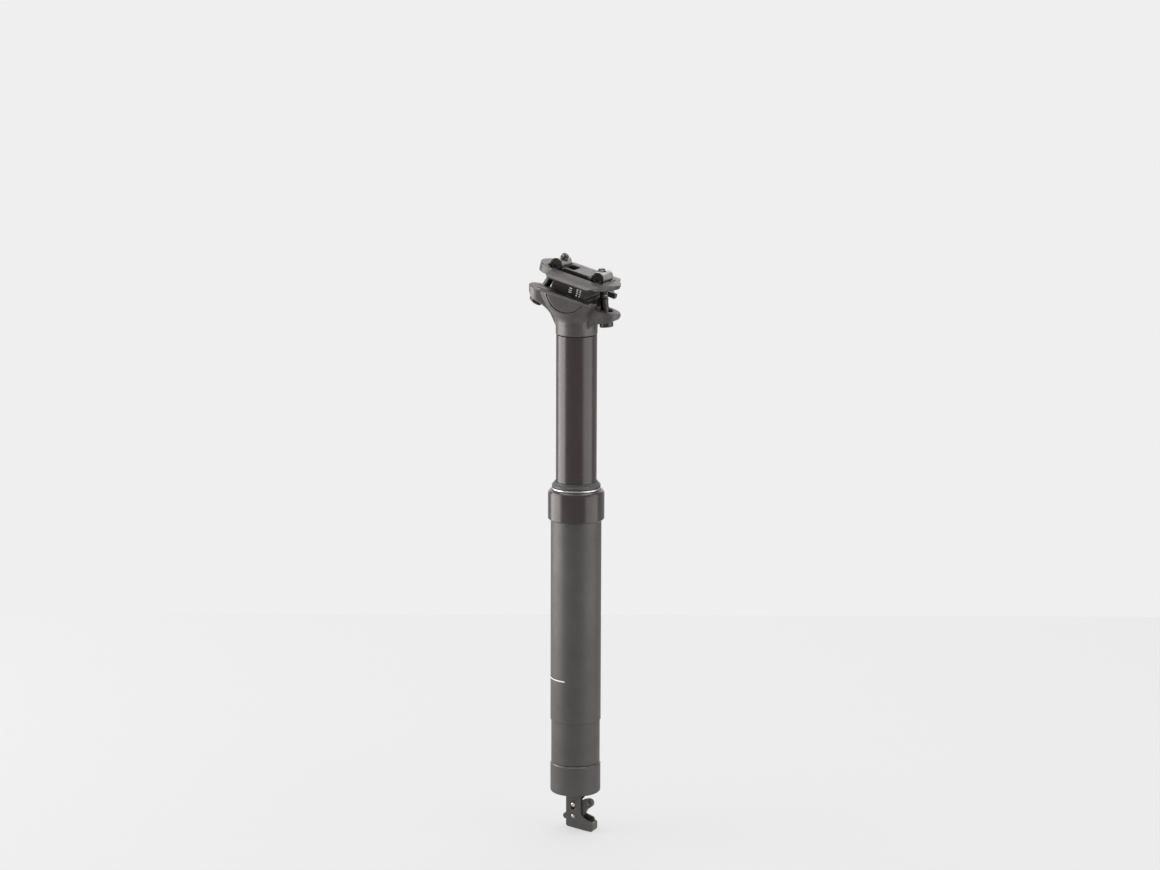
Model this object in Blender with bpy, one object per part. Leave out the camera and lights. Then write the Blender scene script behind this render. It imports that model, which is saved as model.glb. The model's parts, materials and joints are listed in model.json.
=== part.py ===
"""Telescoping bicycle seatpost with a two-bolt saddle clamp and a cable lever.

Frame: the origin is on the post's axis, in the flat bottom of the end cap. +Z runs up the
post and +X points forward, the way the saddle's nose points. Sizes below are millimetres.
"""
import math

import bmesh
import bpy
from mathutils import Matrix, Vector

MM = 0.001

# Driving sizes
TUBE_R = 15.8            # lower tube, 31.6 mm across
TUBE_BORE = 14.1
RELIEF_R = 15.3
POST_R = 12.7            # upper tube, 25.4 mm across
POST_BORE = 10.9
COLLAR_R = 17.6
CAP_R = 15.8
CAP_TOP = 19.4
RELIEF_TOP = 46.8
COLLAR_BOTTOM = 176.2
COLLAR_TOP = 195.5
HEAD_BOTTOM = 293.1      # where the head's neck meets the upper tube
TRAVEL = 90.0
GAP = 0.3                # between pieces that touch
RUNNING = 0.15           # radial, between a shaft and its bearing
FACETS = 48

# Clamp frame: u runs forward along the rails, w is up from the rocking axis
PIVOT = Vector((0.4, 0.0, 322.4))
TILT = math.radians(14.4)
CRADLE_R = 13.6
EAR_TOP_W = -7.3
WALL_TOP_W = -3.5
HEAD_HALF = 17.0
NUT_U, NUT_W = 14.4, 11.1
SEAT_U, SEAT_W = 24.9, -17.6
NUT_R = 4.15
NUT_HALF = 7.5
BOLT_R = 2.5
RAIL_R = 3.5
RAIL_Y = 22.0
LOWER_RAIL_W = 1.4       # the two grooves stand apart, for a 7 by 9 mm oval rail
UPPER_RAIL_W = 3.6
LOWER_LIP_W, UPPER_LIP_W = -1.3, 6.2
WING_OUT = 24.8

# Cable mechanism under the end cap
LEVER_X, LEVER_Z = 0.0, -16.2
CHEEK_IN, CHEEK_OUT = 2.2, 3.6
FOLLOWER_Z = -8.7
SLOT_LOW, SLOT_HIGH = -11.8, -6.0
FOLLOWER_R = 1.4
LOBE = (9.6, 8.8)        # the cable barrel's place, from the lever's pivot
LIFT = 1.0
LEVER_TURN = math.radians(25)

# Inside
POST_BOTTOM = HEAD_BOTTOM - 171.1
ROD_R, ROD_BORE = 4.0, 1.6
CARTRIDGE_R, CARTRIDGE_BORE = 10.3, 8.6


def clear_scene():
    for old in list(bpy.data.objects):
        bpy.data.objects.remove(old, do_unlink=True)


def material(name, colour, roughness, metallic):
    made = bpy.data.materials.new(name)
    made.use_nodes = True
    shader = made.node_tree.nodes["Principled BSDF"]
    shader.inputs["Base Color"].default_value = (*colour, 1)
    shader.inputs["Roughness"].default_value = roughness
    shader.inputs["Metallic"].default_value = metallic
    return made


def place(matrix_mm):
    """The same placement with its shift in metres."""
    shift = matrix_mm.translation * MM
    return Matrix.Translation(shift) @ matrix_mm.to_3x3().to_4x4()


def finish(name, mesh, look=None, at=None):
    """Close a mesh built in millimetres and add it to the scene as an object."""
    bmesh.ops.recalc_face_normals(mesh, faces=mesh.faces)
    bmesh.ops.scale(mesh, vec=(MM, MM, MM), verts=mesh.verts)
    data = bpy.data.meshes.new(name)
    mesh.to_mesh(data)
    mesh.free()
    made = bpy.data.objects.new(name, data)
    bpy.context.scene.collection.objects.link(made)
    data.shade_smooth()
    data.set_sharp_from_angle(angle=math.radians(35))
    if at is not None:
        made.matrix_world = place(at)
    if look:
        data.materials.append(look)
    else:
        made.hide_render = True
        made.display_type = "WIRE"
    return made


def turned(name, profile, look=None, at=None, facets=FACETS, about="Z"):
    """Turn a closed (radius, height) outline about its own axis."""
    mesh = bmesh.new()
    loops = []
    for radius, height in profile:
        if radius < 1e-6:
            loops.append([mesh.verts.new((0, 0, height))])
            continue
        ring = []
        for step in range(facets):
            turn = 2 * math.pi * (step + 0.5) / facets
            ring.append(mesh.verts.new((radius * math.cos(turn), radius * math.sin(turn), height)))
        loops.append(ring)
    for here, after in zip(loops, loops[1:] + loops[:1]):
        if len(here) == 1 and len(after) == 1:
            continue
        for step in range(facets):
            other = (step + 1) % facets
            corners = [here[step % len(here)], here[other % len(here)],
                       after[other % len(after)], after[step % len(after)]]
            mesh.faces.new(list(dict.fromkeys(corners)))
    if about == "Y":
        bmesh.ops.rotate(mesh, matrix=Matrix.Rotation(math.radians(-90), 3, "X"), verts=mesh.verts)
    return finish(name, mesh, look, at)


def rod(radius, low, high):
    return [(0, low), (radius, low), (radius, high), (0, high)]


def tube(inner, outer, low, high):
    return [(inner, low), (outer, low), (outer, high), (inner, high)]


def prism(name, outline, low, high, look=None, at=None, along="Y"):
    """Extrude a flat outline: (x, z) pairs along Y, or (x, y) pairs along Z."""
    mesh = bmesh.new()
    ends = []
    for level in (low, high):
        if along == "Y":
            ends.append([mesh.verts.new((a, level, b)) for a, b in outline])
        else:
            ends.append([mesh.verts.new((a, b, level)) for a, b in outline])
    mesh.faces.new(ends[0])
    mesh.faces.new(list(reversed(ends[1])))
    count = len(outline)
    for step in range(count):
        after = (step + 1) % count
        mesh.faces.new((ends[0][step], ends[1][step], ends[1][after], ends[0][after]))
    return finish(name, mesh, look, at)


def arc(centre, radius, start, end, steps):
    """Points on an arc, angles in degrees from +x towards +z (or +y)."""
    points = []
    for step in range(steps + 1):
        turn = math.radians(start + (end - start) * step / steps)
        points.append((centre[0] + radius * math.cos(turn), centre[1] + radius * math.sin(turn)))
    return points


def span(low_x, high_x, low_y, high_y):
    return [(low_x, low_y), (high_x, low_y), (high_x, high_y), (low_x, high_y)]


def combine(target, other, operation):
    step = target.modifiers.new(operation.lower() + "_" + other.name, "BOOLEAN")
    step.operation = operation
    step.solver = "EXACT"
    step.object = other


def cut(target, *tools):
    for tool in tools:
        combine(target, tool, "DIFFERENCE")


def add(target, *tools):
    for tool in tools:
        combine(target, tool, "UNION")


CLAMP = Matrix.Translation(PIVOT) @ Matrix.Rotation(TILT, 4, "Y")


def bolt_frame(side):
    """Frame at a bolt's seat, with +Z up the bolt. side is 1 at the front, -1 at the rear."""
    lean = math.atan2(SEAT_U - NUT_U, NUT_W - SEAT_W)
    seat = Matrix.Translation(Vector((side * SEAT_U, 0, SEAT_W)))
    return CLAMP @ seat @ Matrix.Rotation(-side * lean, 4, "Y")


def nut_frame(side):
    lean = math.atan2(SEAT_U - NUT_U, NUT_W - SEAT_W)
    middle = Matrix.Translation(Vector((side * NUT_U, 0, NUT_W)))
    return CLAMP @ middle @ Matrix.Rotation(-side * lean, 4, "Y")


# ---- Lower tube and what is fixed to it ----

def make_outer_tube(look):
    neck_r = 15.2
    top = 188.0
    profile = [
        (TUBE_BORE, CAP_TOP + GAP), (RELIEF_R - 0.4, CAP_TOP + GAP), (RELIEF_R, CAP_TOP + 0.7),
        (RELIEF_R, RELIEF_TOP), (TUBE_R, RELIEF_TOP + 0.5), (TUBE_R, COLLAR_BOTTOM - 0.2),
        (neck_r, COLLAR_BOTTOM + 0.4), (neck_r, top), (TUBE_BORE, top)]
    made = turned("outer_tube", profile, look)
    groove_low = POST_BOTTOM + 20.5 - TRAVEL
    for index in range(3):
        turn = Matrix.Rotation(math.radians(120 * index + 60), 4, "Z")
        groove = prism("tube_groove_%d" % (index + 1), span(13.0, 14.75, -1.9, 1.9),
                       groove_low, top + 1, at=turn, along="Z")
        cut(made, groove)
    return made


def make_collar(look):
    thread_r = 15.5
    inner_r = 14.2
    profile = [
        (thread_r, COLLAR_BOTTOM + 0.1), (COLLAR_R - 0.7, COLLAR_BOTTOM + 0.1),
        (COLLAR_R, COLLAR_BOTTOM + 0.9), (COLLAR_R, COLLAR_TOP - 2.3),
        (COLLAR_R - 0.5, COLLAR_TOP - 1.1), (COLLAR_R - 1.6, COLLAR_TOP - 0.2),
        (COLLAR_R - 2.0, COLLAR_TOP), (inner_r, COLLAR_TOP), (inner_r, 188.3), (thread_r, 188.3)]
    return turned("collar", profile, look)


def make_wiper_ring(look):
    profile = [(14.25, 195.8), (15.4, 195.8), (15.65, 196.1), (15.65, 197.0), (15.4, 197.3),
               (14.25, 197.3)]
    return turned("wiper_ring", profile, look)


def make_wiper_seal(look):
    inner = POST_R + RUNNING
    profile = [
        (inner + 0.5, 190.0), (13.9, 190.0), (13.9, 197.6), (14.8, 197.6), (15.0, 197.9),
        (14.9, 198.8), (14.3, 199.2), (13.6, 199.4), (13.45, 200.2), (inner, 200.4),
        (inner, 199.6), (inner + 0.4, 198.4), (inner + 0.4, 193.6), (inner, 192.8),
        (inner, 191.6)]
    return turned("wiper_seal", profile, look, facets=32)


def make_upper_bushing(look):
    return turned("upper_bushing", tube(POST_R + RUNNING, TUBE_BORE - GAP, 168.0, 187.6), look)


def make_end_cap(look):
    floor = 6.0
    wall = 11.5
    top = CAP_TOP + 10.6
    corner = arc((CAP_R - 1.6, 1.6), 1.6, -90, 0, 3)
    profile = [(3.7, 0.0)] + corner + [
        (CAP_R, CAP_TOP - 1.1), (CAP_R - 0.9, CAP_TOP), (TUBE_BORE - GAP, CAP_TOP),
        (TUBE_BORE - GAP, top), (wall, top), (wall, floor), (ROD_R + GAP, floor),
        (ROD_R + GAP, 4.0), (3.7, 4.0)]
    return turned("end_cap", profile, look)


def make_rod_nut(look):
    across = 13.0
    corner = across / 2 / math.cos(math.radians(30))
    outline = arc((0, 0), corner, 0, 300, 5)
    made = prism("rod_nut", outline, 6.3, 11.3, look, along="Z")
    cut(made, turned("rod_nut_hole", rod(ROD_R + GAP, 5.0, 13.0), facets=24))
    return made


def make_cartridge_rod(look):
    top = POST_BOTTOM + 30.0
    profile = [(ROD_BORE, 4.3), (ROD_R - 0.4, 4.3), (ROD_R, 4.7), (ROD_R, top), (ROD_BORE, top)]
    return turned("cartridge_rod", profile, look, facets=24)


def make_cartridge_piston(look):
    low = POST_BOTTOM + 21.0
    outer = CARTRIDGE_BORE - GAP
    profile = [
        (ROD_R + GAP, low), (outer, low), (outer, low + 2.2), (outer - 1.0, low + 2.6),
        (outer - 1.0, low + 4.4), (outer, low + 4.8), (outer, low + 7.0), (ROD_R + GAP, low + 7.0)]
    return turned("cartridge_piston", profile, look, facets=32)


# ---- Upper tube and what slides with it ----

def make_stanchion(look):
    low = POST_BOTTOM
    profile = [
        (POST_BORE, low), (POST_R - 0.5, low), (POST_R, low + 0.5), (POST_R, low + 1.0),
        (12.1, low + 1.0), (12.1, low + 2.4), (POST_R, low + 2.4),
        (POST_R, HEAD_BOTTOM - 0.15), (POST_BORE, HEAD_BOTTOM - 0.15),
        (POST_BORE, low + 5.6), (11.5, low + 5.6), (11.5, low + 4.2), (POST_BORE, low + 4.2)]
    made = turned("stanchion", profile, look)
    for index in range(3):
        turn = Matrix.Rotation(math.radians(120 * index + 60), 4, "Z")
        pocket = prism("key_pocket_%d" % (index + 1), span(12.0, 13.5, -1.8, 1.8),
                       low + 20.7, low + 32.3, at=turn, along="Z")
        cut(made, pocket)
    return made


def make_guide_key(index, look):
    """A flat brass key in its pocket, one of three round the upper tube."""
    turn = Matrix.Rotation(math.radians(120 * index + 60), 4, "Z")
    low = POST_BOTTOM + 21.0
    outline = span(12.3, 14.45, -1.5, 1.5)
    made = prism("guide_key_%d" % (index + 1), outline, low, low + 11.0, look, turn, "Z")
    return made


def split_ring(name, inner, outer, low, high, look):
    """A flat ring with a 50 degree opening at the rear."""
    outline = arc((0, 0), outer, -155, 155, 26) + arc((0, 0), inner, 155, -155, 26)
    return prism(name, outline, low, high, look, along="Z")


def make_lower_bushing(look):
    low = POST_BOTTOM + 2.8
    return turned("lower_bushing", tube(POST_R + RUNNING, TUBE_BORE - GAP, low, low + 13.0), look)


def make_cartridge_body(look):
    low = POST_BOTTOM + 11.3
    top = 272.0
    profile = [
        (CARTRIDGE_BORE, low), (CARTRIDGE_R, low), (CARTRIDGE_R, top - 1.0),
        (CARTRIDGE_R - 1.0, top), (0, top), (0, top - 3.0), (CARTRIDGE_BORE, top - 3.0)]
    return turned("cartridge_body", profile, look, facets=40)


def make_cartridge_gland(look):
    low = POST_BOTTOM + 5.8
    flange = POST_BORE - 0.4
    profile = [
        (ROD_R + RUNNING, low), (flange, low), (flange, low + 5.2),
        (CARTRIDGE_BORE - GAP, low + 5.2), (CARTRIDGE_BORE - GAP, low + 13.0),
        (ROD_R + RUNNING, low + 13.0)]
    return turned("cartridge_gland", profile, look, facets=24)


# ---- Head ----

def flared_neck(name, look):
    """The neck opening into the cradle. Each ring is (half length, half width, height)."""
    rings = [
        (12.85, 12.85, HEAD_BOTTOM + 0.15), (12.9, 12.9, 302.0), (13.4, 13.8, 304.5),
        (14.2, 15.4, 306.5), (15.4, 17.4, 308.5), (17.0, 19.2, 310.5), (18.8, 20.6, 313.0),
        (20.4, 21.4, 316.0), (21.6, 21.9, 319.0), (21.8, 22.0, 332.0)]
    mesh = bmesh.new()
    loops = []
    for long, wide, height in rings:
        loop = []
        for step in range(FACETS):
            turn = 2 * math.pi * (step + 0.5) / FACETS
            loop.append(mesh.verts.new((long * math.cos(turn), wide * math.sin(turn), height)))
        loops.append(loop)
    for here, after in zip(loops, loops[1:]):
        for step in range(FACETS):
            other = (step + 1) % FACETS
            mesh.faces.new((here[step], here[other], after[other], after[step]))
    mesh.faces.new(loops[0])
    mesh.faces.new(loops[-1])
    return finish(name, mesh, look)


def make_head_arms():
    """Side shape of the two ears, from the rear tip round underneath to the front tip."""
    outline = [
        (-34.0, 329.0), (-32.4, 322.5), (-31.2, 318.9), (-28.6, 315.4), (-24.4, 313.2),
        (-20.2, 311.0), (-17.0, 308.6), (-14.8, 306.2), (-13.3, 303.2), (-11.0, 298.6),
        (11.0, 298.6), (13.6, 300.7), (17.0, 301.6), (22.0, 302.2), (25.6, 303.2), (27.8, 305.2),
        (29.4, 308.8), (30.0, 316.0), (30.0, 329.0)]
    arms = prism("head_arms", outline, -7.7, 7.7)
    rear, front, half = -24.0, 21.2, 7.6
    plan = arc((rear, 0), half, 90, 270, 12) + arc((front, 0), half, -90, 90, 12)
    rounding = prism("head_arm_plan", plan, 290.0, 335.0, along="Z")
    combine(arms, rounding, "INTERSECT")
    return arms


def make_head(look):
    made = flared_neck("head", look)
    add(made, make_head_arms())
    under = [(-40, EAR_TOP_W), (-40, -60), (40, -60), (40, EAR_TOP_W), (24.2, EAR_TOP_W),
             (21.0, WALL_TOP_W), (-21.0, WALL_TOP_W), (-24.2, EAR_TOP_W)]
    trim = prism("head_trim", under, -HEAD_HALF, HEAD_HALF, at=CLAMP)
    combine(made, trim, "INTERSECT")
    spigot_r = POST_BORE - GAP
    spigot = turned("head_spigot", rod(spigot_r, 276.0, 300.0), facets=40)
    add(made, spigot)
    cradle = turned("head_cradle", rod(CRADLE_R, -30, 30), at=CLAMP, facets=72, about="Y")
    hollow = turned("head_hollow", rod(8.0, 275.0, 298.0), facets=32)
    cut(made, cradle, hollow)
    for low, high, where in ((12.0, 26.0, "front"), (-26.0, -12.0, "rear")):
        dip = span(low, high, EAR_TOP_W - 0.1, 0.0)
        cut(made, prism(where + "_ear_dip", dip, -8.6, 8.6, at=CLAMP))
    for side, where in ((1, "front"), (-1, "rear")):
        frame = bolt_frame(side)
        slot = arc((1.4, 0), 3.1, -90, 90, 10) + arc((-1.4, 0), 3.1, 90, 270, 10)
        cut(made, prism(where + "_bolt_slot", slot, 0, 30, at=frame, along="Z"))
        seat = turned(where + "_seat_cut", rod(5.5, -4.9, 4.9), at=frame, facets=40, about="Y")
        cut(made, seat)
    return made


def make_seat_washer(side, where, look):
    """A rocking washer: round on top, flat under, with the bolt's hole through it."""
    radius, flat, half = 5.2, 3.5, 4.5
    reach = math.degrees(math.acos(flat / radius))
    outline = arc((0, 0), radius, 90 - reach, 90 + reach, 12)
    made = prism(where + "_seat_washer", outline, -half, half, look, bolt_frame(side))
    hole = turned(where + "_washer_hole", rod(BOLT_R + GAP, 0, 8), at=bolt_frame(side), facets=24)
    cut(made, hole)
    return made


def make_clamp_bolt(side, where, look):
    """Cap screw: the head hangs under the ear and the shank rises through the barrel nut."""
    head_r, head_top, head_low = 4.25, 3.2, -0.1
    tip = math.hypot(SEAT_U - NUT_U, NUT_W - SEAT_W) + (5.6 if side > 0 else 6.6)
    profile = [
        (0, head_low), (head_r - 0.5, head_low), (head_r, head_low + 0.5),
        (head_r, head_top - 0.2), (head_r - 0.2, head_top), (BOLT_R, head_top),
        (BOLT_R, tip - 0.7), (BOLT_R - 0.7, tip), (0, tip)]
    made = turned(where + "_clamp_bolt", profile, look, bolt_frame(side), facets=24)
    socket = arc((0, 0), 2.0 / math.cos(math.radians(30)), 0, 300, 5)
    cut(made, prism(where + "_socket", socket, head_low - 1, head_low + 2.0,
                    at=bolt_frame(side), along="Z"))
    return made


def make_barrel_nut(side, where, look):
    ends = [(0, -NUT_HALF), (NUT_R - 0.4, -NUT_HALF), (NUT_R, -NUT_HALF + 0.4),
            (NUT_R, NUT_HALF - 0.4), (NUT_R - 0.4, NUT_HALF), (0, NUT_HALF)]
    made = turned(where + "_barrel_nut", ends, look, nut_frame(side), facets=28, about="Y")
    thread = turned(where + "_thread", rod(BOLT_R + 0.25, -8, 8), at=nut_frame(side), facets=24)
    cut(made, thread)
    return made


# ---- Rail clamp ----

def rail_cut(name, height):
    """Both saddle rails as cutting rods, lying along the clamp."""
    lay = Matrix.Rotation(math.radians(90), 4, "Y")
    rails = []
    for side, hand in ((1, "left"), (-1, "right")):
        shift = Matrix.Translation(Vector((0, side * RAIL_Y, height)))
        rails.append(turned(name + "_" + hand, rod(RAIL_R, -40, 40), at=CLAMP @ shift @ lay,
                            facets=32))
    return rails


def make_lower_clamp(look):
    """A rocker that fills the cradle, with a raised middle and a thin wing under each rail."""
    radius, chord, half = CRADLE_R - GAP, -2.7, HEAD_HALF - 0.1
    edge = math.degrees(math.asin(-chord / radius))
    made = prism("lower_clamp", arc((0, 0), radius, -edge, -180 + edge, 30), -half, half, look,
                 CLAMP)
    middle = [(-10.6, -3.5), (10.6, -3.5), (10.2, 3.2), (9.4, 3.9), (-9.4, 3.9), (-10.2, 3.2)]
    add(made, prism("rocker_middle", middle, -half, half, at=CLAMP))
    lip, under = LOWER_LIP_W, -4.4
    lay = CLAMP @ Matrix.Rotation(math.radians(90), 4, "Z")
    plan = [(-19.0, -20.4), (-13.6, -25.2), (13.6, -25.2), (19.0, -20.4), (19.0, 20.4),
            (13.6, 25.2), (-13.6, 25.2), (-19.0, 20.4)]
    tips = prism("lower_wing_plan", plan, -10, 10, at=CLAMP, along="Z")
    root = span(-12.4, 12.4, under, lip - 0.3)
    for side, hand in ((1, "left"), (-1, "right")):
        inner = HEAD_HALF + GAP
        section = [(inner, lip), (WING_OUT, lip), (WING_OUT, lip - 0.8), (23.2, -3.3),
                   (21.0, -4.1), (inner, under)]
        wing = prism("lower_wing_" + hand, [(side * y, w) for y, w in section], -19.0, 19.0,
                     at=lay)
        combine(wing, tips, "INTERSECT")
        ends = sorted((side * 14.0, side * (inner + 0.3)))
        add(made, wing, prism("wing_root_" + hand, root, ends[0], ends[1], at=CLAMP))
    cut(made, *rail_cut("lower_rail", LOWER_RAIL_W))
    return made


def clamp_plan():
    """The upper clamp from above: a long crown with round ends and a wing at either side.

    The wings run further forward than back, and sweep in towards the front tip.
    """
    front = arc((13.7, 0), 12.9, 0, 42, 5) + [
        (21.6, 12.4), (19.9, 17.6), (17.9, 22.0), (15.4, WING_OUT)]
    rear = [(-11.4, WING_OUT), (-13.5, 22.4), (-14.2, 14.4)] + arc((-13.7, 0), 12.9, 96, 180, 10)
    left = front + rear
    return left + [(u, -y) for u, y in reversed(left[1:-1])]


def clamp_section():
    """The upper clamp from the front: a thick crown that thins out over the rails."""
    lip = UPPER_LIP_W
    left = [(11.2, 4.4), (13.4, lip), (WING_OUT, lip), (WING_OUT, 7.1), (22.0, 8.1),
            (18.0, 9.1), (12.9, 9.8)]
    return left + [(-y, w) for y, w in reversed(left)]


def make_upper_clamp(look):
    """Plate over the rails, with a plateau in its middle and a cradle for each barrel nut."""
    lay = CLAMP @ Matrix.Rotation(math.radians(90), 4, "Z")
    made = prism("upper_clamp", clamp_section(), -29.0, 29.0, look, lay)
    plan = prism("upper_clamp_plan", clamp_plan(), 0, 20, at=CLAMP, along="Z")
    combine(made, plan, "INTERSECT")
    thin_tip = [(14.6, 3.0), (30.0, 3.0), (30.0, 8.1), (17.0, 5.0)]
    cut(made, prism("front_tip_cut", thin_tip, -26.0, 26.0, at=CLAMP))
    for side, hand in ((1, "left"), (-1, "right")):
        ends = sorted((side * 7.0, side * 11.9))
        channel = [(-15.4, 6.8), (15.0, 6.8), (17.0, 11), (-17.4, 11)]
        cut(made, prism("clamp_channel_" + hand, channel, ends[0], ends[1], at=CLAMP))
    plateau = [(-9.6, 6), (9.6, 6), (9.6, 10.3), (8.8, 11.1), (-8.8, 11.1), (-9.6, 10.3)]
    add(made, prism("clamp_plateau", plateau, -7.4, 7.4, at=CLAMP))
    for side, where in ((1, "front"), (-1, "rear")):
        middle = side * NUT_U
        saddle = [(middle - 6.4, 5.9), (middle + 6.4, 5.9), (middle + 5.8, 10.5),
                  (middle - 5.8, 10.5)]
        add(made, prism(where + "_nut_saddle", saddle, -7.9, 7.9, at=CLAMP))
    for side, where in ((1, "front"), (-1, "rear")):
        hold = Matrix.Translation(Vector((side * NUT_U, 0, NUT_W)))
        cradle = turned(where + "_nut_cradle", rod(NUT_R + GAP, -9, 9),
                        at=CLAMP @ hold, facets=28, about="Y")
        mouth = prism(where + "_nut_mouth",
                      span(side * NUT_U - NUT_R - GAP, side * NUT_U + NUT_R + GAP, NUT_W, 20),
                      -9, 9, at=CLAMP)
        slot = arc((1.6, 0), 3.2, -90, 90, 10) + arc((-1.6, 0), 3.2, 90, 270, 10)
        passage = prism(where + "_clamp_slot", slot, -14, 2, at=nut_frame(side), along="Z")
        cut(made, cradle, mouth, passage)
    pocket = prism("clamp_pocket", span(-9.0, -2.8, 6.4, 12), -5.2, 5.2, at=CLAMP)
    cut(made, pocket, *rail_cut("upper_rail", UPPER_RAIL_W))
    return made


# ---- Cable mechanism ----

def make_actuator_bracket(look):
    """Two cheeks under a round foot, with a nose at the front that stops the cable's housing."""
    made = turned("actuator_bracket",
                  [(1.6, -2.3), (8.0, -2.3), (8.4, -1.9), (8.4, -0.3), (3.4, -0.3), (3.4, 3.7),
                   (1.6, 3.7)], look, facets=32)
    near = [
        (-4.9, -1.0), (-4.9, -22.3), (-4.0, -23.2), (8.0, -24.8), (12.6, -25.2), (13.8, -24.0),
        (13.8, -19.8), (13.2, -19.1), (11.2, -18.9), (8.8, -17.8), (6.8, -16.4), (5.3, -14.6),
        (5.3, -1.0)]
    far = [
        (-4.9, -1.0), (-4.9, -22.3), (-4.0, -23.2), (8.0, -24.8), (12.6, -25.2), (13.8, -24.0),
        (13.8, -19.8), (13.2, -19.1), (12.4, -18.9), (11.8, -17.0), (7.2, -15.4), (3.6, -13.6),
        (3.6, -6.4), (5.2, -4.6), (5.2, -1.0)]
    add(made, prism("near_cheek", near, -CHEEK_OUT, -CHEEK_IN))
    add(made, prism("far_cheek", far, CHEEK_IN, CHEEK_OUT))
    nose = [(7.0, -24.5), (12.6, -25.1), (13.7, -24.0), (13.7, -19.9), (13.1, -19.2),
            (7.0, -19.2)]
    add(made, prism("bracket_nose", nose, -2.8, 2.8))
    floor = [(-4.0, -23.1), (8.0, -24.7), (8.0, -23.2), (-4.0, -21.8)]
    add(made, prism("bracket_floor", floor, -2.8, 2.8))
    wide = FOLLOWER_R + RUNNING
    slot = (arc((LEVER_X, SLOT_HIGH - wide), wide, 0, 180, 8)
            + arc((LEVER_X, SLOT_LOW + wide), wide, 180, 360, 8))
    pivot = arc((LEVER_X, LEVER_Z), 1.5, 0, 337.5, 15)
    cut(made, prism("follower_slot", slot, -8, 8), prism("pivot_hole", pivot, -8, 8))
    housing = Matrix.Translation(Vector((10.6, 0, 0)))
    cut(made, turned("housing_seat", rod(2.1, -27, -21.0), at=housing, facets=20))
    cut(made, turned("cable_hole", rod(0.8, -22, -18), at=housing, facets=12))
    return made


def cam_outline():
    """The cam's working edge: it keeps the follower's radius inside the path of its middle.

    The path's distance from the pivot grows evenly with the lever's turn.
    """
    base = FOLLOWER_Z - LEVER_Z
    rise = LIFT / LEVER_TURN
    inset = FOLLOWER_R + 0.1
    edge = []
    for degrees in range(-15, 36, 5):
        back = math.radians(degrees)
        reach = base + rise * max(0.0, back)
        grow = rise if degrees > 0 else 0.0
        out = Vector((-math.sin(back), math.cos(back)))
        along = grow * out + reach * Vector((-math.cos(back), -math.sin(back)))
        inward = Vector((-along.y, along.x)).normalized()
        edge.append(tuple(reach * out + inset * inward))
    return edge


def make_actuator_lever(look):
    """Lever with a lobe for the cable, a tail, and a cam that rises behind the follower."""
    cam = cam_outline()
    tail = (-5.7, -0.8)
    outline = cam + arc(tail, 2.1, 80, 290, 10) + [(-2.0, -4.2), (2.4, -3.8), (5.6, -1.2)]
    outline += [(8.4, 4.4)] + arc(LOBE, 2.9, -38, 108, 12)
    outline += [(6.4, 11.0), (4.0, 9.6), (2.9, 7.4), (2.4, 5.2)]
    hinge = Matrix.Translation(Vector((LEVER_X, 0, LEVER_Z)))
    half = CHEEK_IN - GAP
    made = prism("actuator_lever", outline, -half, half, look, hinge)
    seat = Matrix.Translation(Vector((LEVER_X + LOBE[0], 0, LEVER_Z + LOBE[1])))
    bore = turned("barrel_bore", rod(1.7, -5, 5), at=seat, facets=20, about="Y")
    shaft = turned("lever_bore", rod(1.5, -5, 5), at=hinge, facets=16, about="Y")
    entry = prism("cable_slot", span(-0.6, 0.6, -6, 0), -0.6, 0.6, at=seat)
    cut(made, bore, shaft, entry)
    return made


def make_small_pins(steel, dark):
    """Pivot pin, follower pin, the cable's clamping barrel and its grub screw."""
    hinge = Matrix.Translation(Vector((LEVER_X, 0, LEVER_Z)))
    end = CHEEK_OUT + 0.3
    pivot = [(0, -end), (1.1, -end), (1.3, -end + 0.2), (1.3, end - 0.2), (1.1, end), (0, end)]
    turned("lever_pin", pivot, steel, hinge, 16, "Y")
    follower = Matrix.Translation(Vector((LEVER_X, 0, FOLLOWER_Z)))
    bar = [(0, -end), (1.2, -end), (FOLLOWER_R, -end + 0.2), (FOLLOWER_R, end - 0.2),
           (1.2, end), (0, end)]
    turned("slot_pin", bar, steel, follower, 16, "Y")
    seat = Matrix.Translation(Vector((LEVER_X + LOBE[0], 0, LEVER_Z + LOBE[1])))
    barrel = turned("cable_barrel", rod(1.4, -1.8, 1.8), dark, seat, 20, "Y")
    cut(barrel, turned("cable_bore", rod(0.6, -3, 3), at=seat, facets=10))
    cut(barrel, turned("grub_bore", rod(0.95, -0.2, 4), at=seat, facets=12, about="Y"))
    turned("cable_screw", rod(0.7, 0.7, 1.7), steel, seat, 12, "Y")


def make_push_pin(look):
    low = FOLLOWER_Z + FOLLOWER_R + GAP
    high = POST_BOTTOM + 26.0
    profile = [(0, low), (0.9, low), (1.2, low + 0.3), (1.2, high), (0, high)]
    return turned("push_pin", profile, look, facets=12)


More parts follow.
